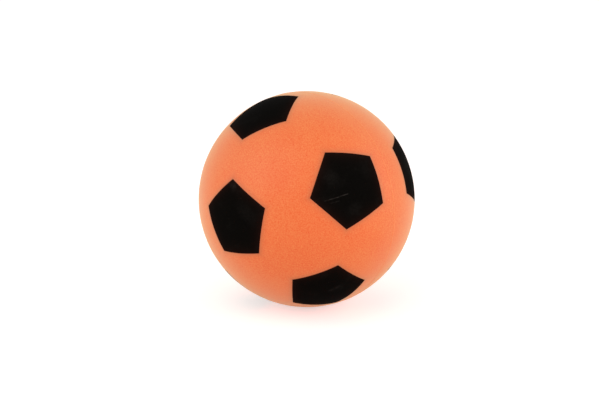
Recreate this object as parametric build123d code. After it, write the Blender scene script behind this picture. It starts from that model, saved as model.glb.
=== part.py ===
from build123d import *
import os
from math import asin, cos, degrees, radians, sin, sqrt, tan

# A soft foam play ball with a football print. Two moulded skin halves meet at a fine
# raised seam round a foam core, and each half carries six printed pentagons: one in
# the middle and a ring of five.
# Millimetres. The origin is the ball's centre and +Z is up. The seam lies in the XZ
# plane, so the front half faces -Y and the back half faces +Y.

# Ball
BALL_DIAMETER = 200.0
SKIN_THICKNESS = 1.5

# Seam
SEAM_WIDTH = 0.8
SEAM_HEIGHT = 0.15  # how far the seam stands proud of the skin

# Printed pentagons
PENTAGON_SIDE = 42.5  # straight from corner to corner
PRINT_THICKNESS = 0.3
FRONT_RING_ANGLE = 64.0  # degrees from the middle of the half to the middle of a ring print
BACK_RING_ANGLE = 58.5
FRONT_TURN = -8.0  # degrees from straight up to the upper ring print, clockwise from the front
BACK_TURN = -5.0

# How far each print lies off its even place. The first two numbers are along the surface:
# clockwise round the ring seen from the front, and outwards from the middle of the half. For
# the print in the middle they are to the right and up. The third is the degrees that the
# print itself is turned, clockwise seen from outside.
FRONT_SLIPS = {
    "centre": (-1.5, 0.1, -0.4),
    "upper": (-4.5, -0.2, 0.0),
    "right": (6.7, 0.9, 1.1),
    "lower_right": (3.8, -0.8, 0.0),
    "lower_left": (3.2, 1.7, 0.0),
    "left": (-3.2, 3.5, 0.0),
}
BACK_SLIPS = {"right": (0.3, 0.0, -1.7)}
NO_SLIP = (0.0, 0.0, 0.0)  # for the prints that lie in their even places

# The ring prints of a half, clockwise from the top seen from the front, one towards
# each corner of the print in the middle
RING_PLACES = ("upper", "right", "lower_right", "lower_left", "left")
PENTAGON_CORNERS = len(RING_PLACES)

ball_radius = BALL_DIAMETER / 2
core_radius = ball_radius - SKIN_THICKNESS
print_floor_radius = ball_radius - PRINT_THICKNESS
corner_step = 360 / PENTAGON_CORNERS


def foam_core():
    """The one-piece foam inside the skin."""
    return Sphere(core_radius)


def half_shell(side):
    """One plain skin half, from the seam outwards; side is -1 for the front and 1 for the back."""
    shell = Sphere(ball_radius) - Sphere(core_radius)
    middle_of_half = side * (SEAM_WIDTH / 2 + BALL_DIAMETER / 2)
    half_space = Pos(0, middle_of_half, 0) * Box(2 * BALL_DIAMETER, BALL_DIAMETER, 2 * BALL_DIAMETER)
    return shell & half_space


def seam_bead():
    """The ring between the skin halves, as deep as the skin, with a low crown outside."""
    half_width = SEAM_WIDTH / 2
    inner_edge = sqrt(core_radius**2 - half_width**2)
    outer_edge = sqrt(ball_radius**2 - half_width**2)
    crown = ball_radius + SEAM_HEIGHT
    with BuildSketch(Plane.XY) as section:
        with BuildLine():
            Line((inner_edge, -half_width), (outer_edge, -half_width))
            ThreePointArc((outer_edge, -half_width), (crown, 0), (outer_edge, half_width))
            Line((outer_edge, half_width), (inner_edge, half_width))
            ThreePointArc((inner_edge, half_width), (core_radius, 0), (inner_edge, -half_width))
        make_face()
    return revolve(section.sketch, Axis.Y)


def print_cutter():
    """Everything above the print floor over one pentagon, on +Z with a corner towards +X.

    The sides run through the ball's centre, so each printed edge is a great-circle arc.
    """
    corner_radius = PENTAGON_SIDE / (2 * sin(radians(corner_step / 2)))
    corner_angle = asin(corner_radius / ball_radius)
    height = BALL_DIAMETER
    reach = height * tan(corner_angle)
    turns = [radians(corner_step * number) for number in range(PENTAGON_CORNERS)]
    corners = [(reach * cos(turn), reach * sin(turn), height) for turn in turns]
    return ConvexPolyhedron([(0, 0, 0), *corners]) - Sphere(print_floor_radius)


def on_half(side, ring_angle, turn):
    """The direction at a ring angle from the middle of a half and a clockwise turn from the top."""
    outwards = sin(radians(ring_angle))
    return Vector(
        outwards * sin(radians(turn)),
        side * cos(radians(ring_angle)),
        outwards * cos(radians(turn)),
    )


def print_plane(towards, corner_way, own_turn):
    """The plane of one print: z towards its middle and x towards a corner, turned clockwise by own_turn."""
    to_corner = corner_way - towards * corner_way.dot(towards)
    turned = to_corner.rotate(Axis((0, 0, 0), towards), -own_turn)
    return Plane((0, 0, 0), x_dir=turned, z_dir=towards)


def print_places(side, ring_angle, first_turn, slips):
    """The plane of each print on one half, by name."""
    middle = Vector(0, side, 0)
    upper = on_half(side, ring_angle, first_turn)
    right_slip, up_slip, own_turn = slips.get("centre", NO_SLIP)
    towards = (middle * ball_radius + Vector(right_slip, 0, up_slip)).normalized()
    places = {"centre": print_plane(towards, upper, own_turn)}
    for number, name in enumerate(RING_PLACES):
        round_slip, out_slip, own_turn = slips.get(name, NO_SLIP)
        angle = ring_angle + degrees(out_slip / ball_radius)
        ring_radius = ball_radius * sin(radians(angle))
        turn = first_turn + corner_step * number + degrees(round_slip / ring_radius)
        places[name] = print_plane(on_half(side, angle, turn), middle, own_turn)
    return places


def skin_and_prints(half_name, side, ring_angle, first_turn, slips):
    """One skin half with a shallow seat for each print, and the prints that fill the seats."""
    cutter = print_cutter()
    printed = cutter & Sphere(ball_radius)
    places = print_places(side, ring_angle, first_turn, slips)
    seats = [place.location * cutter for place in places.values()]
    pieces = {f"{half_name}_skin": half_shell(side) - seats}
    for name, place in places.items():
        pieces[f"{half_name}_{name}_pentagon"] = place.location * printed
    return pieces


nodes = {"foam_core": foam_core(), "seam_bead": seam_bead()}
nodes |= skin_and_prints("front", -1, FRONT_RING_ANGLE, FRONT_TURN, FRONT_SLIPS)
nodes |= skin_and_prints("back", 1, BACK_RING_ANGLE, BACK_TURN, BACK_SLIPS)

os.makedirs("parts", exist_ok=True)
for node, shape in nodes.items():
    export_step(shape, f"parts/{node}.step")
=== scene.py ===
"""Dresses the foam play ball: grained skin halves, a raised seam, printed pentagons and a foam core.

Every piece is made round the ball's centre, in metres, and takes the place of its CAD node.
"""

import logging
import math
from dataclasses import dataclass, field
from enum import Enum
from functools import cached_property

import bmesh
import bpy
import numpy as np
from mathutils import Matrix, Vector


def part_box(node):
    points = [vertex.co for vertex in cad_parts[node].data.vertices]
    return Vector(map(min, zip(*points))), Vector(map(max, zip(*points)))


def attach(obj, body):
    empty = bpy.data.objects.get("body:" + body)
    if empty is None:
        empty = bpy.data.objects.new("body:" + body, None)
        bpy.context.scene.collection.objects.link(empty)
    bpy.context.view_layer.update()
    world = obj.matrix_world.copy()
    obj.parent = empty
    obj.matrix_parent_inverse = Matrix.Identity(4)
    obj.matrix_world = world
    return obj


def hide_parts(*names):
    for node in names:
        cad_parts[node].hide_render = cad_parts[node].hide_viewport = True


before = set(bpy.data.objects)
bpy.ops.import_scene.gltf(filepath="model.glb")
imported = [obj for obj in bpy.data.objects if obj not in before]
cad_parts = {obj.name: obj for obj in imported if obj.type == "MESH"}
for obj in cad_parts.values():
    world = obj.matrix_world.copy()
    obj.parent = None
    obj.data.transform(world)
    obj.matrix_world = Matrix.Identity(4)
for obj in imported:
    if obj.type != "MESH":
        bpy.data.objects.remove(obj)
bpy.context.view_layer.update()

log = logging.getLogger("foam_ball")

BODY = "root"
SEED = 11.0
WHITE = (1.0, 1.0, 1.0)

# Lengths in metres
MILLIMETRE = 0.001
TINY = 1e-7  # points closer than this are one
SNAP = 5e-6  # a cut this close to a point goes through it

# Shares and angles
MIDDLE = 0.5  # the middle of a tone or a height that runs from 0 to 1
SPOT_CORE = 0.3  # the share of a spot's radius that has its full tone
CUT_MARGIN = 0.02  # how far a cut reaches past a print's corners, as a cosine
RIM_ANGLE = math.radians(40)  # faces that meet at more than this have a sharp edge

# Prints
PENTAGON_CORNERS = 5
NO_PRINT = -1
PRINT_DISTANCE = "print_distance"  # a point's attribute
PRINTED = "printed"  # a face's attribute

# The curve of screen colours, which is straight below its knee and a power above it
SCREEN_WHITE = 255
SCREEN_KNEE = 0.04045
SCREEN_SLOPE = 12.92
SCREEN_LIFT = 0.055
SCREEN_POWER = 2.4

Colour = tuple[float, float, float]
Settings = dict[str, object]
Sockets = dict[str | int, object]


def srgb(red: float, green: float, blue: float) -> Colour:
    """Turns a colour as a screen shows it into the linear values that a shader takes.

    Args:
        red, green, blue: The colour's parts, each from 0 to 255.

    Returns:
        The same colour in linear values from 0 to 1.
    """
    linear = []
    for part in (red / SCREEN_WHITE, green / SCREEN_WHITE, blue / SCREEN_WHITE):
        if part <= SCREEN_KNEE:
            linear.append(part / SCREEN_SLOPE)
        else:
            linear.append(((part + SCREEN_LIFT) / (1 + SCREEN_LIFT)) ** SCREEN_POWER)
    return tuple(linear)


class Half(Enum):
    """The two moulded halves of the skin, by the way that each one faces along Y."""

    FRONT = -1
    BACK = 1

    @property
    def label(self) -> str:
        """The half's name, as the nodes start with it."""
        return self.name.lower()


class Slot(Enum):
    """The record's material slots."""

    FOAM = "foam"
    SKIN = "skin"
    SEAM = "seam"
    PRINT = "print"


class Wire:
    """One output socket, for use in Python arithmetic: each operator adds its Math node."""

    def __init__(self, graph: "NodeGraph", socket: bpy.types.NodeSocket) -> None:
        """Keeps the socket, and the graph that its Math nodes go into."""
        self.graph = graph
        self.socket = socket

    def __add__(self, other: "Wire | float") -> "Wire":
        """This wire plus another wire or a number."""
        return self.graph.math("ADD", self, other)

    __radd__ = __add__

    def __sub__(self, other: "Wire | float") -> "Wire":
        """This wire minus another wire or a number."""
        return self.graph.math("SUBTRACT", self, other)

    def __rsub__(self, other: float) -> "Wire":
        """A number minus this wire."""
        return self.graph.math("SUBTRACT", other, self)

    def __mul__(self, other: "Wire | float") -> "Wire":
        """This wire times another wire or a number."""
        return self.graph.math("MULTIPLY", self, other)

    __rmul__ = __mul__

    def __truediv__(self, other: "Wire | float") -> "Wire":
        """This wire divided by another wire or a number."""
        return self.graph.math("DIVIDE", self, other)

    def __rtruediv__(self, other: float) -> "Wire":
        """A number divided by this wire."""
        return self.graph.math("DIVIDE", other, self)

    def __abs__(self) -> "Wire":
        """This wire without its sign."""
        return self.graph.math("ABSOLUTE", self)

    def rising(self, low: "Wire | float", high: "Wire | float") -> "Wire":
        """A smooth step from 0 at the low value to 1 at the high one."""
        sockets = {"Value": self, "From Min": low, "From Max": high}
        return self.graph.wire("ShaderNodeMapRange", {"interpolation_type": "SMOOTHSTEP"}, sockets)

    def falling(self, low: "Wire | float", high: "Wire | float") -> "Wire":
        """A smooth step from 1 at the low value to 0 at the high one."""
        return 1 - self.rising(low, high)


class NodeGraph:
    """Fills one node tree."""

    def __init__(self, tree: bpy.types.NodeTree) -> None:
        """Keeps the tree that the nodes go into."""
        self.tree = tree

    def node(
        self,
        kind: str,
        settings: Settings | None = None,
        sockets: Sockets | None = None,
    ) -> bpy.types.Node:
        """Adds one node.

        Args:
            kind: The node's type.
            settings: The node's own settings, which are set first.
            sockets: A value or a wire for each input, by name or number.

        Returns:
            The new node.
        """
        made = self.tree.nodes.new(kind)
        for name, value in (settings or {}).items():
            setattr(made, name, value)
        for key, value in (sockets or {}).items():
            self.feed(made.inputs[key], value)
        return made

    def feed(self, socket: bpy.types.NodeSocket, value: object) -> None:
        """Links a wire to an input, or sets the input's value.

        Args:
            socket: The input.
            value: A wire, a list of wires for an input that takes several, a number, a colour or a vector.
        """
        if isinstance(value, list):
            for wire in value:
                self.feed(socket, wire)
        elif isinstance(value, Wire):
            self.tree.links.new(value.socket, socket)
        elif socket.type == "RGBA":
            socket.default_value = (*value, 1.0)
        else:
            socket.default_value = value

    def wire(
        self,
        kind: str,
        settings: Settings | None = None,
        sockets: Sockets | None = None,
        output: str | int = 0,
    ) -> Wire:
        """Adds one node and gives the wire from one of its outputs.

        Args:
            kind: The node's type.
            settings: The node's own settings.
            sockets: A value or a wire for each input.
            output: The output's name or number.

        Returns:
            The wire from that output.
        """
        return Wire(self, self.node(kind, settings, sockets).outputs[output])

    def math(self, operation: str, *values: Wire | float) -> Wire:
        """Adds a Math node on wires and numbers."""
        return self.wire("ShaderNodeMath", {"operation": operation}, dict(enumerate(values)))

    def vector(self, operation: str, *values: object, output: str = "Vector") -> Wire:
        """Adds a Vector Math node on wires and vectors."""
        return self.wire("ShaderNodeVectorMath", {"operation": operation}, dict(enumerate(values)), output)

    def scaled(self, vector: Wire, factor: Wire | float) -> Wire:
        """A vector times a number."""
        return self.wire("ShaderNodeVectorMath", {"operation": "SCALE"}, {0: vector, "Scale": factor})

    def blend(self, share: Wire | float, first: Wire | Colour, second: Wire | Colour) -> Wire:
        """Goes from the first colour to the second as the share goes from 0 to 1."""
        return self.wire("ShaderNodeMix", {"data_type": "RGBA"}, {0: share, 6: first, 7: second}, 2)


class MaterialGraph(NodeGraph):
    """The node tree of one material, which reads Object coordinates."""

    def __init__(self, name: str) -> None:
        """Makes the material, with an empty tree.

        Args:
            name: The material's name.
        """
        self.material = bpy.data.materials.new(name)
        self.material.use_nodes = True
        super().__init__(self.material.node_tree)
        self.tree.nodes.clear()

    @cached_property
    def place(self) -> Wire:
        """Each point's Object coordinates."""
        return self.wire("ShaderNodeTexCoord", output="Object")

    def noise(self, size: float, detail: float = 2.0, roughness: float = 0.5) -> Wire:
        """Smooth random tone about 0, from about -0.5 to 0.5.

        Args:
            size: The size of its patches, in metres.
            detail: How many finer layers it has.
            roughness: How strong the finer layers are.

        Returns:
            The tone.
        """
        sockets = {"Vector": self.place, "Scale": 1 / size, "Detail": detail, "Roughness": roughness}
        return self.wire("ShaderNodeTexNoise", None, sockets) - MIDDLE

    def spots(self, spacing: float, size: float, share: float) -> Wire:
        """Small round spots scattered over the surface.

        Args:
            spacing: The grid that they are scattered on, in metres.
            size: The radius of a spot, in metres.
            share: The share of the grid's cells that have one.

        Returns:
            A mask that is 1 in the middle of each spot.
        """
        cells = self.node("ShaderNodeTexVoronoi", None, {"Vector": self.place, "Scale": 1 / spacing})
        reach = size / spacing
        near = Wire(self, cells.outputs["Distance"]).falling(SPOT_CORE * reach, reach)
        pick = self.wire("ShaderNodeSeparateColor", None, {"Color": Wire(self, cells.outputs["Color"])})
        return near * self.math("LESS_THAN", pick, share)

    def print_distance(self) -> Wire:
        """How far outside the nearest print each point lies, in metres; below 0 on a print."""
        return self.wire("ShaderNodeAttribute", {"attribute_name": PRINT_DISTANCE}, output="Fac")

    def finish(self, surface: Sockets, height: Wire, depth: float) -> bpy.types.Material:
        """Ends the tree in one Principled shader.

        Args:
            surface: The shader's values and wires.
            height: The height of the fine relief, about 0 to 1.
            depth: The depth of that relief, in metres.

        Returns:
            The finished material.
        """
        bump = self.wire("ShaderNodeBump", None, {"Height": height, "Distance": depth})
        shader = self.wire("ShaderNodeBsdfPrincipled", None, {**surface, "Normal": bump})
        self.node("ShaderNodeOutputMaterial", None, {"Surface": shader})
        return self.material


class GeometryGraph(NodeGraph):
    """A Geometry Nodes tree with named inputs."""

    def __init__(self, name: str, inputs: dict[str, str]) -> None:
        """Makes the tree.

        Args:
            name: The tree's name.
            inputs: The kind of socket for each named input, besides the geometry and the material.
        """
        super().__init__(bpy.data.node_groups.new(name, "GeometryNodeTree"))
        named = {"Geometry": "NodeSocketGeometry", "Material": "NodeSocketMaterial", **inputs}
        for label, kind in named.items():
            self.tree.interface.new_socket(label, in_out="INPUT", socket_type=kind)
        self.tree.interface.new_socket("Geometry", in_out="OUTPUT", socket_type="NodeSocketGeometry")
        self.entry = self.node("NodeGroupInput")

    def given(self, label: str) -> Wire:
        """The wire from a named input."""
        return Wire(self, self.entry.outputs[label])

    def away_from_centre(self) -> Wire:
        """The direction from the ball's centre to each point."""
        return self.vector("NORMALIZE", self.wire("GeometryNodeInputPosition"))

    def close(self, geometry: Wire) -> None:
        """Ends the tree: smooth faces with sharp rims, real geometry and the material.

        Args:
            geometry: The finished shape.
        """
        angle = self.wire("GeometryNodeInputMeshEdgeAngle")
        rim = self.math("GREATER_THAN", angle, RIM_ANGLE)
        smooth = self.wire("GeometryNodeSetShadeSmooth", {"domain": "FACE"}, {"Geometry": geometry})
        sharp = {"Geometry": smooth, "Selection": rim, "Shade Smooth": False}
        edged = self.wire("GeometryNodeSetShadeSmooth", {"domain": "EDGE"}, sharp)
        real = self.wire("GeometryNodeRealizeInstances", None, {"Geometry": edged})
        finish = {"Geometry": real, "Material": self.given("Material")}
        dressed = self.wire("GeometryNodeSetMaterial", None, finish)
        self.node("NodeGroupOutput", None, {"Geometry": dressed})

    def run(self, name: str, start: bpy.types.Mesh, values: dict[str, object]) -> bpy.types.Object:
        """Runs the tree once and keeps its result as a plain mesh.

        Args:
            name: The name of the new piece.
            start: The mesh that the tree starts from.
            values: The value of each named input.

        Returns:
            The piece, with one material and no modifier left on it.
        """
        piece = bpy.data.objects.new(name, start)
        bpy.context.scene.collection.objects.link(piece)
        modifier = piece.modifiers.new(name, "NODES")
        modifier.node_group = self.tree
        for item in self.tree.interface.items_tree:
            if item.in_out == "INPUT" and item.name in values:
                modifier[item.identifier] = values[item.name]
        evaluated = piece.evaluated_get(bpy.context.evaluated_depsgraph_get())
        shaped = bpy.data.meshes.new_from_object(evaluated)
        while shaped.materials[0] is None:
            shaped.materials.pop(index=0)
        piece.modifiers.clear()
        piece.data = shaped
        shaped.name = name
        return piece


@dataclass(frozen=True)
class FoamSkinFinish:
    """Moulded foam: a fine grain, faint mottling, sparse pits and specks, and a soft bloom at the edge.
    The pits are painted deeper and redder, as painted shade in them.

    Beside a print the foam is a little darker, where the ink has soaked in.
    """

    deep: Colour = srgb(231, 84, 30)
    pale: Colour = srgb(237, 130, 69)
    grain_size: float = 1.15 * MILLIMETRE
    grain_tone: float = 1.9
    grain_relief: float = 0.8
    mottle_size: float = 34 * MILLIMETRE
    mottle_tone: float = 0.5
    # Painted shade: the deeper red that fills each pit
    pit_shade: Colour = srgb(228, 58, 18)
    pit_spacing: float = 3.4 * MILLIMETRE
    pit_size: float = 0.7 * MILLIMETRE
    pit_share: float = 0.1
    pit_tone: float = 0.9
    pit_relief: float = 0.7
    speck: Colour = srgb(246, 164, 116)
    speck_spacing: float = 5.2 * MILLIMETRE
    speck_size: float = 0.55 * MILLIMETRE
    speck_share: float = 0.15
    speck_tone: float = 0.5
    soaked: Colour = srgb(195, 98, 57)
    soak: float = 1.0
    soak_width: float = 2.2 * MILLIMETRE
    bloom: Colour = (0.85, 1.0, 0.42)
    bloom_weight: float = 0.38
    bloom_roughness: float = 0.52
    roughness: float = 0.4
    mottle_roughness: float = 0.05
    specular: float = 0.35
    relief_depth: float = 0.01 * MILLIMETRE

    def material(self, name: str) -> bpy.types.Material:
        """Makes the material.

        Args:
            name: The material's name.

        Returns:
            The material.
        """
        graph = MaterialGraph(name)
        grain = graph.noise(self.grain_size, detail=2.0, roughness=0.6)
        mottle = graph.noise(self.mottle_size, detail=3.0)
        pits = graph.spots(self.pit_spacing, self.pit_size, self.pit_share)
        specks = graph.spots(self.speck_spacing, self.speck_size, self.speck_share)
        tone = MIDDLE + self.grain_tone * grain + self.mottle_tone * mottle
        plain = graph.blend(tone, self.deep, self.pale)
        soak = self.soak * graph.math("EXPONENT", graph.print_distance() / -self.soak_width)
        inked = graph.blend(soak, plain, self.soaked)
        # The pits are coloured with painted shade
        pit_shaded = graph.blend(self.pit_tone * pits, inked, self.pit_shade)
        surface = {
            "Base Color": graph.blend(self.speck_tone * specks, pit_shaded, self.speck),
            "Roughness": self.roughness + self.mottle_roughness * mottle,
            "Specular IOR Level": self.specular,
            "Sheen Weight": self.bloom_weight,
            "Sheen Roughness": self.bloom_roughness,
            "Sheen Tint": self.bloom,
        }
        height = MIDDLE + self.grain_relief * grain - self.pit_relief * pits
        return graph.finish(surface, height, self.relief_depth)


# The seam's foam is paler than the skin's, with no ink in it
SEAM_FINISH = FoamSkinFinish(deep=srgb(239, 102, 40), pale=srgb(242, 142, 82), soak=0.0)


@dataclass(frozen=True)
class Scuff:
    """A pale rub mark on a print, in millimetres right and up from its middle as seen from outside.

    The core is the share of its width that has the mark's full strength.
    """

    start: tuple[float, float]
    end: tuple[float, float]
    width: float
    strength: float
    core: float = 0.2

    def mask(self, right: Wire, up: Wire) -> Wire:
        """Draws the mark.

        Args:
            right: Each point's place to the right of the print's middle, in millimetres.
            up: Each point's place above the print's middle, in millimetres.

        Returns:
            A mask with the mark's strength along its line.
        """
        length = math.dist(self.start, self.end)
        step_right, step_up = ((end - start) / length for start, end in zip(self.start, self.end))
        right = right - self.start[0]
        up = up - self.start[1]
        along = right * step_right + up * step_up
        across = abs(up * step_right - right * step_up)
        begins = along.rising(-self.width, self.width)
        ends = along.falling(length - self.width, length + self.width)
        return self.strength * begins * ends * across.falling(self.core * self.width, self.width)


# The rub marks by print
RUB_MARKS = {
    "front_centre_pentagon": (
        Scuff((-4.9, 32.1), (-1.1, 28.5), width=5.0, strength=0.11),
        Scuff((8.3, 15.3), (24.4, 2.6), width=9.0, strength=0.03),
    ),
    "front_lower_right_pentagon": (
        Scuff((2.0, 2.4), (10.5, 8.5), width=2.8, strength=0.09),
    ),
    "front_right_pentagon": (
        Scuff((-24.5, -9.5), (-20.5, -9.0), width=0.6, strength=0.12),
        Scuff((-20.1, -8.9), (-11.2, -7.4), width=0.6, strength=0.26),
        Scuff((-10.3, -7.0), (-2.8, -5.7), width=0.6, strength=0.28),
        Scuff((-19.1, -12.0), (-11.1, -10.8), width=0.6, strength=0.09),
        Scuff((-19.0, 15.0), (-13.0, 5.0), width=9.0, strength=0.055),
        Scuff((15.5, 16.8), (20.0, 9.5), width=8.0, strength=0.035),
        Scuff((-2.0, -21.0), (5.0, -16.5), width=6.0, strength=0.04),
    ),
}


@dataclass(frozen=True)
class PrintFinish:
    """Flat black print, warmer where the ink thins out at its edge, with smudges, dust and rub marks."""

    black: Colour = srgb(8, 7, 6)
    thin: Colour = srgb(31, 13, 9)
    thin_width: float = 3.4 * MILLIMETRE
    smudge: Colour = srgb(24, 23, 21)
    smudge_size: float = 16 * MILLIMETRE
    smudge_range: tuple[float, float] = (0.02, 0.3)
    smudge_tone: float = 0.5
    haze: float = 0.1
    grain_size: float = 1.3 * MILLIMETRE
    grain_tone: float = 0.5
    dust: Colour = srgb(72, 67, 63)
    dust_spacing: float = 6 * MILLIMETRE
    dust_size: float = 0.45 * MILLIMETRE
    dust_share: float = 0.25
    dust_tone: float = 0.25
    wear_size: float = 2.4 * MILLIMETRE
    wear_tone: float = 7.0
    roughness: float = 0.7
    grain_roughness: float = 0.3
    specular: float = 0.004
    relief_depth: float = 0.06 * MILLIMETRE

    def rubbed(self, graph: MaterialGraph, place: "PrintPlace", scuffs: tuple[Scuff, ...]) -> Wire:
        """Draws the rub marks of one print, broken up by wear.

        Args:
            graph: The material's graph.
            place: Where the print lies.
            scuffs: The marks, at least one.

        Returns:
            A mask of the marks.
        """
        right = graph.vector("DOT_PRODUCT", graph.place, place.right / MILLIMETRE, output="Value")
        up = graph.vector("DOT_PRODUCT", graph.place, place.up / MILLIMETRE, output="Value")
        wear = graph.noise(self.wear_size, detail=4.0, roughness=0.9)
        return sum(scuff.mask(right, up) for scuff in scuffs) * (1 + self.wear_tone * wear)

    def material(self, name: str, place: "PrintPlace") -> bpy.types.Material:
        """Makes the material of one print.

        Args:
            name: The material's name.
            place: Where the print lies.

        Returns:
            The material.
        """
        graph = MaterialGraph(name)
        grain = graph.noise(self.grain_size, detail=2.0, roughness=0.6)
        smudges = graph.noise(self.smudge_size, detail=4.0, roughness=0.65).rising(*self.smudge_range)
        edge = graph.math("EXPONENT", graph.print_distance() / self.thin_width)
        inked = graph.blend(edge, self.black, self.thin)
        tone = self.haze + self.grain_tone * grain + self.smudge_tone * smudges
        plain = graph.blend(tone, inked, self.smudge)
        marks = self.dust_tone * graph.spots(self.dust_spacing, self.dust_size, self.dust_share)
        scuffs = RUB_MARKS.get(place.node, ())
        if scuffs:
            marks = marks + self.rubbed(graph, place, scuffs)
        surface = {
            "Base Color": graph.blend(marks, plain, self.dust),
            "Roughness": self.roughness + self.grain_roughness * grain,
            "Specular IOR Level": self.specular,
        }
        return graph.finish(surface, MIDDLE + grain, self.relief_depth)


@dataclass(frozen=True)
class CoreFinish:
    """Open foam: small round cells with paler walls, and painted shade that darkens the hollows of the
    cells.
    """

    # The walls are painted paler as if lit, and the hollows darker as painted shade
    wall: Colour = srgb(248, 178, 130)
    hollow_shade: Colour = srgb(214, 112, 66)
    cell_size: float = 1.8 * MILLIMETRE
    wall_range: tuple[float, float] = (0.25, 0.75)
    roughness: float = 0.95
    wall_roughness: float = 0.85
    specular: float = 0.2
    relief_depth: float = 0.5 * MILLIMETRE

    def material(self, name: str) -> bpy.types.Material:
        """Makes the material.

        Args:
            name: The material's name.

        Returns:
            The material.
        """
        graph = MaterialGraph(name)
        sockets = {"Vector": graph.place, "Scale": 1 / self.cell_size}
        wall = graph.wire("ShaderNodeTexVoronoi", None, sockets).rising(*self.wall_range)
        surface = {
            # Painted shade in the cell hollows, paler on the walls
            "Base Color": graph.blend(wall, self.hollow_shade, self.wall),
            "Roughness": self.roughness + (self.wall_roughness - self.roughness) * wall,
            "Specular IOR Level": self.specular,
        }
        return graph.finish(surface, wall, self.relief_depth)


def points_of(node: str) -> np.ndarray:
    """Reads the points of a CAD node's mesh.

    Args:
        node: The node's name.

    Returns:
        The points, one to a row.
    """
    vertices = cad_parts[node].data.vertices
    points = np.empty(3 * len(vertices))
    vertices.foreach_get("co", points)
    return points.reshape(-1, 3)


def distances(node: str) -> np.ndarray:
    """The distance of each of a CAD node's points from the ball's centre."""
    return np.linalg.norm(points_of(node), axis=1)


@dataclass(frozen=True)
class BallSizes:
    """The ball's main sizes in metres, measured on its CAD nodes."""

    radius: float
    core_radius: float
    print_floor: float
    crown: float
    half_seam: float

    @classmethod
    def from_frame(cls) -> "BallSizes":
        """Measures the nodes.

        Returns:
            The sizes.
        """
        skin = distances("front_skin")
        return cls(
            radius=float(skin.max()),
            core_radius=float(skin.min()),
            print_floor=float(distances("front_centre_pentagon").min()),
            crown=float(distances("seam_bead").max()),
            half_seam=float(-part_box("front_skin")[1][1]),
        )


@dataclass(frozen=True)
class PrintPlace:
    """Where one printed pentagon lies, by directions from the ball's centre."""

    node: str
    centre: Vector
    corners: tuple[Vector, ...]

    @classmethod
    def from_node(cls, node: str) -> "PrintPlace":
        """Finds the middle and the corners of a print on its CAD node.

        Args:
            node: The node's name.

        Returns:
            The print's place, with its corners counterclockwise as seen from outside.
        """
        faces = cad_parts[node].data.polygons
        middle = sum((face.center * face.area for face in faces), Vector())
        centre = middle.normalized()
        farthest = min((Vector(point).normalized() for point in points_of(node)), key=centre.dot)
        turns = [math.tau * number / PENTAGON_CORNERS for number in range(PENTAGON_CORNERS)]
        return cls(node, centre, tuple(Matrix.Rotation(turn, 3, centre) @ farthest for turn in turns))

    @property
    def up(self) -> Vector:
        """Up on the print, as seen from outside."""
        return (Vector((0, 0, 1)) - self.centre * self.centre.z).normalized()

    @property
    def right(self) -> Vector:
        """To the right on the print, as seen from outside."""
        return self.up.cross(self.centre)

    @property
    def outsides(self) -> list[Vector]:
        """For each side, the direction square to it that points away from the print."""
        following = (*self.corners[1:], self.corners[0])
        return [after.cross(before).normalized() for before, after in zip(self.corners, following)]

    def distance(self, points: np.ndarray) -> np.ndarray:
        """How far outside the print each point of the ball lies, in metres; below 0 on the print."""
        return np.max(points @ np.array(self.outsides).T, axis=1)

    def score(self, surface: bmesh.types.BMesh) -> None:
        """Cuts the print's outline into the faces of the ball's surface.

        Args:
            surface: The surface, which gets new edges along the outline.
        """
        reach = min(self.centre.dot(corner) for corner in self.corners) - CUT_MARGIN
        middles = ((face, face.calc_center_median().normalized()) for face in surface.faces)
        near = {face for face, middle in middles if middle.dot(self.centre) > reach}
        edges = {edge for face in near for edge in face.edges}
        points = {point for face in near for point in face.verts}
        cut = [*points, *edges, *near]
        for outside in self.outsides:
            cut = bmesh.ops.bisect_plane(surface, geom=cut, dist=SNAP, plane_no=outside)["geom"]


RELIEF_INPUTS = {
    "Seed": "NodeSocketFloat",
    "Relief": "NodeSocketFloat",
    "Relief Size": "NodeSocketFloat",
    "Seam Margin": "NodeSocketFloat",
    "Inner Radius": "NodeSocketFloat",
}


def relieved(graph: GeometryGraph) -> Wire:
    """Gives the incoming surface the slight unevenness of moulded foam, which fades out at the seam.

    Args:
        graph: A tree with the relief's inputs.

    Returns:
        The uneven surface.
    """
    place = graph.wire("GeometryNodeInputPosition")
    size = {
        "Vector": place,
        "W": graph.given("Seed"),
        "Scale": 1 / graph.given("Relief Size"),
        "Detail": 2.0,
    }
    noise = graph.wire("ShaderNodeTexNoise", {"noise_dimensions": "4D"}, size, "Color")
    from_seam = abs(graph.wire("ShaderNodeSeparateXYZ", None, {0: place}, "Y"))
    amount = graph.given("Relief") * from_seam.rising(0.0, graph.given("Seam Margin"))
    offset = graph.scaled(graph.vector("SUBTRACT", noise, (MIDDLE, MIDDLE, MIDDLE)), amount)
    moved = {"Geometry": graph.given("Geometry"), "Offset": offset}
    return graph.wire("GeometryNodeSetPosition", None, moved)


def lining(graph: GeometryGraph, surface: Wire) -> Wire:
    """Makes the inner wall and the rim that close a layer behind its outer surface.

    Args:
        graph: A tree with an inner radius.
        surface: The layer's outer surface.

    Returns:
        The wall and the rim, facing out of the layer.
    """
    wall = graph.node("GeometryNodeExtrudeMesh", {"mode": "FACES"}, {"Mesh": surface, "Individual": False})
    inside = graph.scaled(graph.away_from_centre(), graph.given("Inner Radius"))
    moved = {
        "Geometry": Wire(graph, wall.outputs["Mesh"]),
        "Selection": Wire(graph, wall.outputs["Top"]),
        "Position": inside,
    }
    lined = graph.wire("GeometryNodeSetPosition", None, moved)
    return graph.wire("GeometryNodeFlipFaces", None, {"Mesh": lined})


def closed(graph: GeometryGraph, outside: Wire, inside: Wire) -> Wire:
    """Joins an outer surface and its lining into one closed layer."""
    both = graph.wire("GeometryNodeJoinGeometry", None, {"Geometry": [outside, inside]})
    return graph.wire("GeometryNodeMergeByDistance", None, {"Geometry": both, "Distance": TINY})


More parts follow.
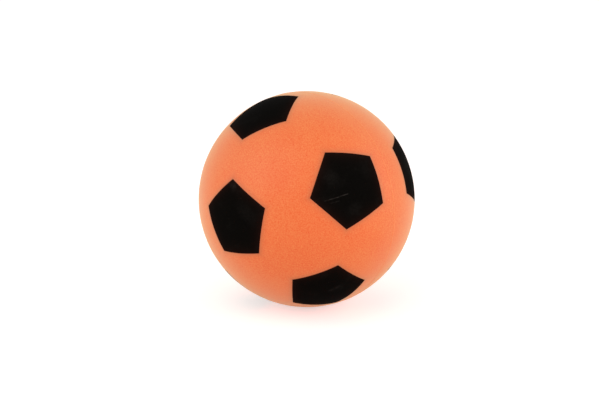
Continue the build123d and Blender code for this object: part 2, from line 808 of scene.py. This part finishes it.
def skin_tree() -> GeometryGraph:
    """Builds the tree that turns a half's surface into its skin, with a seat for each print.

    Returns:
        The tree.
    """
    graph = GeometryGraph("moulded_skin", {**RELIEF_INPUTS, "Seat Depth": "NodeSocketFloat"})
    surface = relieved(graph)
    printed = graph.wire("GeometryNodeInputNamedAttribute", {"data_type": "BOOLEAN"}, {"Name": PRINTED})
    seat = {
        "Mesh": surface,
        "Selection": printed,
        "Offset Scale": 0 - graph.given("Seat Depth"),
        "Individual": False,
    }
    seated = graph.wire("GeometryNodeExtrudeMesh", {"mode": "FACES"}, seat)
    graph.close(closed(graph, seated, lining(graph, surface)))
    return graph


def print_tree() -> GeometryGraph:
    """Builds the tree that turns a print's patch of the surface into a thin closed layer.

    Returns:
        The tree.
    """
    graph = GeometryGraph("printed_layer", RELIEF_INPUTS)
    surface = relieved(graph)
    graph.close(closed(graph, surface, lining(graph, surface)))
    return graph


@dataclass
class MouldedHalf:
    """One half of the ball: its skin, and the prints that lie flush in it."""

    half: Half
    sizes: BallSizes
    places: list[PrintPlace]
    divisions: int = 7
    relief: float = 0.16 * MILLIMETRE
    relief_size: float = 14 * MILLIMETRE
    seam_margin: float = 6 * MILLIMETRE

    def surface(self) -> bmesh.types.BMesh:
        """Makes the half's outer surface with the outline of each print cut into it.

        Returns:
            The surface, which the caller frees.
        """
        surface = bmesh.new()
        bmesh.ops.create_icosphere(surface, subdivisions=self.divisions, radius=self.sizes.radius)
        whole = [*surface.verts, *surface.edges, *surface.faces]
        side = self.half.value
        rim = Vector((0, side * self.sizes.half_seam, 0))
        bmesh.ops.bisect_plane(
            surface, geom=whole, dist=TINY, plane_co=rim, plane_no=(0, -side, 0), clear_outer=True
        )
        for place in self.places:
            place.score(surface)
        for point in surface.verts:
            point.co = point.co.normalized() * self.sizes.radius
        return surface

    def nearest(self, points: np.ndarray) -> tuple[np.ndarray, np.ndarray]:
        """Finds the nearest print to each point of the surface.

        Args:
            points: The points, one to a row.

        Returns:
            The number of each point's nearest print, and how far outside it the point lies.
        """
        away = np.array([place.distance(points) for place in self.places])
        return away.argmin(axis=0), away.min(axis=0)

    def mark(self, surface: bmesh.types.BMesh) -> np.ndarray:
        """Notes each point's distance from the prints, and which faces are printed.

        Args:
            surface: The half's outer surface.

        Returns:
            The number of each face's print, or NO_PRINT.
        """
        outside = surface.verts.layers.float.new(PRINT_DISTANCE)
        printed = surface.faces.layers.bool.new(PRINTED)
        points = np.array([point.co for point in surface.verts])
        for point, away in zip(surface.verts, self.nearest(points)[1]):
            point[outside] = away
        middles = np.array([face.calc_center_median() for face in surface.faces])
        owners, depths = self.nearest(middles)
        owners[depths >= 0] = NO_PRINT
        for face, owner in zip(surface.faces, owners):
            face[printed] = owner != NO_PRINT
        return owners

    def relief_values(self) -> dict[str, float]:
        """The relief's values, which the skin and its prints share so that they stay flush."""
        return {
            "Seed": SEED,
            "Relief": self.relief,
            "Relief Size": self.relief_size,
            "Seam Margin": self.seam_margin,
        }

    def build_skin(self, surface: bmesh.types.BMesh, material: bpy.types.Material) -> bpy.types.Object:
        """Builds the skin.

        Args:
            surface: The half's outer surface, with its marks.
            material: The skin's material.

        Returns:
            The skin.
        """
        values = {
            **self.relief_values(),
            "Seat Depth": self.sizes.radius - self.sizes.print_floor,
            "Inner Radius": self.sizes.core_radius,
            "Material": material,
        }
        start = bpy.data.meshes.new(f"{self.half.label}_surface")
        surface.to_mesh(start)
        return skin_tree().run(f"{self.half.label}_skin_moulded", start, values)

    def build_print(
        self, node: str, surface: bmesh.types.BMesh, own: np.ndarray, material: bpy.types.Material
    ) -> bpy.types.Object:
        """Builds one print.

        Args:
            node: The print's node.
            surface: The half's outer surface.
            own: Whether each of its faces belongs to this print.
            material: The print's material.

        Returns:
            The print.
        """
        patch = surface.copy()
        others = [face for face, kept in zip(patch.faces, own) if not kept]
        bmesh.ops.delete(patch, geom=others, context="FACES")
        start = bpy.data.meshes.new(f"{node}_surface")
        patch.to_mesh(start)
        patch.free()
        values = {**self.relief_values(), "Inner Radius": self.sizes.print_floor, "Material": material}
        return print_tree().run(f"{node}_print", start, values)

    def build(self, skin: bpy.types.Material, ink: PrintFinish) -> list[bpy.types.Object]:
        """Builds the skin and its prints.

        Args:
            skin: The skin's material.
            ink: The finish of the prints.

        Returns:
            The skin, followed by the prints in the order of their places.
        """
        surface = self.surface()
        owners = self.mark(surface)
        pieces = [self.build_skin(surface, skin)]
        for number, place in enumerate(self.places):
            material = ink.material(f"{place.node}_ink", place)
            pieces.append(self.build_print(place.node, surface, owners == number, material))
        surface.free()
        return pieces


@dataclass
class SeamBead:
    """The fine raised ring between the two skin halves."""

    sizes: BallSizes
    steps: int = 720
    section_points: int = 20
    unevenness: float = 0.05 * MILLIMETRE
    unevenness_size: float = 9 * MILLIMETRE

    def section(self, graph: GeometryGraph) -> Wire:
        """Shapes the ring's section: a low crown outside, and a straight root as deep as the skin.

        Args:
            graph: The ring's tree.

        Returns:
            The section's curve.
        """
        unit = {"Resolution": graph.given("Section Points"), "Radius": 1.0}
        circle = graph.wire("GeometryNodeCurvePrimitiveCircle", {"mode": "RADIUS"}, unit)
        corner = graph.node("ShaderNodeSeparateXYZ", None, {0: graph.wire("GeometryNodeInputPosition")})
        outwards = Wire(graph, corner.outputs["Y"])
        outside = graph.math("GREATER_THAN", outwards, -TINY)
        place = {
            "X": outside * graph.given("Height") * outwards - (1 - outside) * graph.given("Depth"),
            "Y": Wire(graph, corner.outputs["X"]) * graph.given("Half Width"),
        }
        crowned = {"Geometry": circle, "Position": graph.wire("ShaderNodeCombineXYZ", None, place)}
        return graph.wire("GeometryNodeSetPosition", None, crowned)

    def uneven(self, graph: GeometryGraph, ring: Wire) -> Wire:
        """Makes the ring's crown a little uneven.

        Args:
            graph: The ring's tree.
            ring: The even ring.

        Returns:
            The uneven ring.
        """
        place = graph.wire("GeometryNodeInputPosition")
        proud = graph.vector("LENGTH", place, output="Value") - graph.given("Radius")
        size = {"Vector": place, "W": graph.given("Seed"), "Scale": 1 / graph.given("Unevenness Size")}
        noise = graph.wire("ShaderNodeTexNoise", {"noise_dimensions": "4D"}, size) - MIDDLE
        amount = noise * graph.given("Unevenness") * proud.rising(0.0, graph.given("Height"))
        moved = {"Geometry": ring, "Offset": graph.scaled(graph.away_from_centre(), amount)}
        return graph.wire("GeometryNodeSetPosition", None, moved)

    def tree(self) -> GeometryGraph:
        """Builds the tree: a crowned section swept round a circle, with an uneven crown.

        Returns:
            The tree.
        """
        inputs = {
            "Steps": "NodeSocketInt",
            "Section Points": "NodeSocketInt",
            "Radius": "NodeSocketFloat",
            "Half Width": "NodeSocketFloat",
            "Height": "NodeSocketFloat",
            "Depth": "NodeSocketFloat",
            "Unevenness": "NodeSocketFloat",
            "Unevenness Size": "NodeSocketFloat",
            "Seed": "NodeSocketFloat",
        }
        graph = GeometryGraph("seam_bead_ring", inputs)
        ring = {"Resolution": graph.given("Steps"), "Radius": graph.given("Radius")}
        path = graph.wire("GeometryNodeCurvePrimitiveCircle", {"mode": "RADIUS"}, ring)
        upright = graph.wire("GeometryNodeSetCurveNormal", {"mode": "Z_UP"}, {"Curve": path})
        sweep = {"Curve": upright, "Profile Curve": self.section(graph)}
        swept = graph.wire("GeometryNodeCurveToMesh", None, sweep)
        facing = graph.wire("GeometryNodeFlipFaces", None, {"Mesh": swept})
        turned = {"Geometry": facing, "Rotation": (math.pi / 2, 0.0, 0.0)}
        standing = graph.wire("GeometryNodeTransform", None, turned)
        graph.close(self.uneven(graph, standing))
        return graph

    def build(self, material: bpy.types.Material) -> bpy.types.Object:
        """Builds the ring.

        Args:
            material: The ring's material.

        Returns:
            The ring.
        """
        sizes = self.sizes
        values = {
            "Steps": self.steps,
            "Section Points": self.section_points,
            "Radius": sizes.radius,
            "Half Width": sizes.half_seam,
            "Height": sizes.crown - sizes.radius,
            "Depth": sizes.radius - sizes.core_radius,
            "Unevenness": self.unevenness,
            "Unevenness Size": self.unevenness_size,
            "Seed": SEED,
            "Material": material,
        }
        return self.tree().run("seam_bead_raised", bpy.data.meshes.new("seam_start"), values)


@dataclass
class FoamCore:
    """The foam ball inside the skin, dented all over by its cells."""

    sizes: BallSizes
    divisions: int = 7
    cell_size: float = 5 * MILLIMETRE
    cell_depth: float = 0.5 * MILLIMETRE
    cell_range: tuple[float, float] = (0.1, 0.7)

    def tree(self) -> GeometryGraph:
        """Builds the tree: a round ball whose surface sinks in the middle of each cell.

        Returns:
            The tree.
        """
        inputs = {
            "Divisions": "NodeSocketInt",
            "Radius": "NodeSocketFloat",
            "Cell Size": "NodeSocketFloat",
            "Cell Depth": "NodeSocketFloat",
            "Seed": "NodeSocketFloat",
        }
        graph = GeometryGraph("foam_core_ball", inputs)
        ball = {"Radius": graph.given("Radius"), "Subdivisions": graph.given("Divisions")}
        start = graph.wire("GeometryNodeMeshIcoSphere", None, ball)
        cells = {
            "Vector": graph.wire("GeometryNodeInputPosition"),
            "W": graph.given("Seed"),
            "Scale": 1 / graph.given("Cell Size"),
        }
        from_middle = graph.wire("ShaderNodeTexVoronoi", {"voronoi_dimensions": "4D"}, cells)
        depth = from_middle.falling(*self.cell_range) * graph.given("Cell Depth")
        sink = graph.scaled(graph.away_from_centre(), 0 - depth)
        graph.close(graph.wire("GeometryNodeSetPosition", None, {"Geometry": start, "Offset": sink}))
        return graph

    def build(self, material: bpy.types.Material) -> bpy.types.Object:
        """Builds the core.

        Args:
            material: The core's material.

        Returns:
            The core.
        """
        values = {
            "Divisions": self.divisions,
            "Radius": self.sizes.core_radius,
            "Cell Size": self.cell_size,
            "Cell Depth": self.cell_depth,
            "Seed": SEED,
            "Material": material,
        }
        return self.tree().run("foam_core_cells", bpy.data.meshes.new("core_start"), values)


def direction(azimuth: float, elevation: float) -> Vector:
    """The direction from the ball to a viewer.

    Args:
        azimuth: Degrees round from the front, towards +X.
        elevation: Degrees above level.

    Returns:
        A unit vector.
    """
    around = math.radians(azimuth)
    above = math.radians(elevation)
    return Vector(
        (math.sin(around) * math.cos(above), -math.cos(around) * math.cos(above), math.sin(above))
    )


@dataclass(frozen=True)
class SoftBox:
    """A large square lamp that faces the ball, in degrees, watts and metres."""

    name: str
    azimuth: float
    elevation: float
    watts: float
    distance: float = 1.6
    width: float = 1.6

    def build(self) -> None:
        """Adds the lamp."""
        light = bpy.data.lights.new(self.name, "AREA")
        light.shape = "SQUARE"
        light.size = self.width
        light.energy = self.watts
        lamp = bpy.data.objects.new(self.name, light)
        lamp.location = direction(self.azimuth, self.elevation) * self.distance
        lamp.rotation_euler = lamp.location.to_track_quat("Z", "Y").to_euler()
        bpy.context.scene.collection.objects.link(lamp)


@dataclass
class Studio:
    """A pale floor, soft light all round and the camera."""

    sizes: BallSizes
    picture_width: int = 600
    picture_height: int = 400
    ball_centre_px: tuple[float, float] = (306.7, 199.05)
    ball_radius_px: float = 108.1
    azimuth: float = 39.5
    elevation: float = 14.7
    camera_distance: float = 1.2
    sensor: float = 36.0
    floor_width: float = 30.0
    floor_tone: Colour = (0.90, 0.74, 0.68)
    floor_lift: float = 0.55
    sky: float = 0.655
    lamps: list[SoftBox] = field(
        default_factory=lambda: [
            SoftBox("left_softbox", azimuth=-2, elevation=42, watts=6.5),
            SoftBox("left_side_softbox", azimuth=-34, elevation=19, watts=5.3),
            SoftBox("right_softbox", azimuth=85, elevation=10, watts=4.5),
            SoftBox("right_side_softbox", azimuth=113, elevation=19, watts=9.2),
        ]
    )

    def build(self) -> None:
        """Sets up the floor, the light and the camera."""
        bpy.context.scene.view_settings.view_transform = "Standard"
        self.add_floor()
        self.add_sky()
        for lamp in self.lamps:
            lamp.build()
        self.add_camera()

    def seen(self, graph: NodeGraph) -> Wire:
        """Tells what the camera sees, also in a mirror or through glass, from what only lights the ball.

        Args:
            graph: The graph that asks.

        Returns:
            A wire that is 1 for what is seen.
        """
        path = graph.node("ShaderNodeLightPath")
        seen = Wire(graph, path.outputs["Is Camera Ray"])
        for name in ("Is Glossy Ray", "Is Transmission Ray"):
            seen = graph.math("MAXIMUM", seen, Wire(graph, path.outputs[name]))
        return seen

    def add_floor(self) -> None:
        """Adds the floor under the ball's lowest point."""
        shape = bmesh.new()
        bmesh.ops.create_grid(shape, x_segments=1, y_segments=1, size=self.floor_width / 2)
        bmesh.ops.translate(shape, verts=shape.verts, vec=(0, 0, -self.sizes.crown))
        mesh = bpy.data.meshes.new("studio_floor")
        shape.to_mesh(mesh)
        shape.free()
        graph = MaterialGraph("studio_floor")
        surface = {
            "Base Color": self.floor_tone,
            "Roughness": 1.0,
            "Specular IOR Level": 0.0,
            "Emission Color": WHITE,
            "Emission Strength": self.floor_lift * self.seen(graph),
        }
        shader = graph.wire("ShaderNodeBsdfPrincipled", None, surface)
        graph.node("ShaderNodeOutputMaterial", None, {"Surface": shader})
        mesh.materials.append(graph.material)
        floor = bpy.data.objects.new("studio_floor", mesh)
        bpy.context.scene.collection.objects.link(floor)

    def add_sky(self) -> None:
        """Lights the ball evenly from all round, in front of white."""
        world = bpy.data.worlds.new("studio_sky")
        world.use_nodes = True
        graph = NodeGraph(world.node_tree)
        graph.tree.nodes.clear()
        strength = self.sky + (1 - self.sky) * self.seen(graph)
        light = graph.wire("ShaderNodeBackground", None, {"Color": WHITE, "Strength": strength})
        graph.node("ShaderNodeOutputWorld", None, {"Surface": light})
        bpy.context.scene.world = world

    def add_camera(self) -> None:
        """Adds the camera where the picture was taken from."""
        away = self.camera_distance / self.sizes.radius
        focal_px = self.ball_radius_px * math.sqrt(away**2 - 1)
        lens = bpy.data.cameras.new("camera")
        lens.sensor_width = self.sensor
        lens.lens = focal_px / self.picture_width * self.sensor
        lens.shift_x = (self.picture_width / 2 - self.ball_centre_px[0]) / self.picture_width
        lens.shift_y = (self.ball_centre_px[1] - self.picture_height / 2) / self.picture_width
        camera = bpy.data.objects.new("camera", lens)
        camera.location = direction(self.azimuth, self.elevation) * self.camera_distance
        camera.rotation_euler = camera.location.to_track_quat("Z", "Y").to_euler()
        bpy.context.scene.collection.objects.link(camera)
        bpy.context.scene.camera = camera


def settle(piece: bpy.types.Object, node: str) -> None:
    """Puts a finished piece on the ball's body in place of its CAD node.

    Args:
        piece: The piece.
        node: The CAD node that it stands for.
    """
    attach(piece, BODY)
    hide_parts(node)
    log.info("%s: %d faces", piece.name, len(piece.data.polygons))


def print_nodes(half: Half) -> list[str]:
    """The CAD nodes of the prints on one half, in the order of their names."""
    return sorted(
        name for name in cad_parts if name.startswith(half.label) and name.endswith("pentagon")
    )


def main() -> None:
    """Builds the ball piece by piece, and the studio round it."""
    sizes = BallSizes.from_frame()
    skin = FoamSkinFinish().material("orange_foam_skin")
    for half in Half:
        places = [PrintPlace.from_node(node) for node in print_nodes(half)]
        moulded, *prints = MouldedHalf(half, sizes, places).build(skin, PrintFinish())
        settle(moulded, f"{half.label}_skin")
        for place, layer in zip(places, prints):
            settle(layer, place.node)
    seam = SeamBead(sizes).build(SEAM_FINISH.material("seam_foam"))
    settle(seam, "seam_bead")
    core = FoamCore(sizes).build(CoreFinish().material("core_foam"))
    settle(core, "foam_core")
    Studio(sizes).build()


if __name__ == "__main__":
    logging.basicConfig(level=logging.INFO, format="%(name)s: %(message)s")
    main()
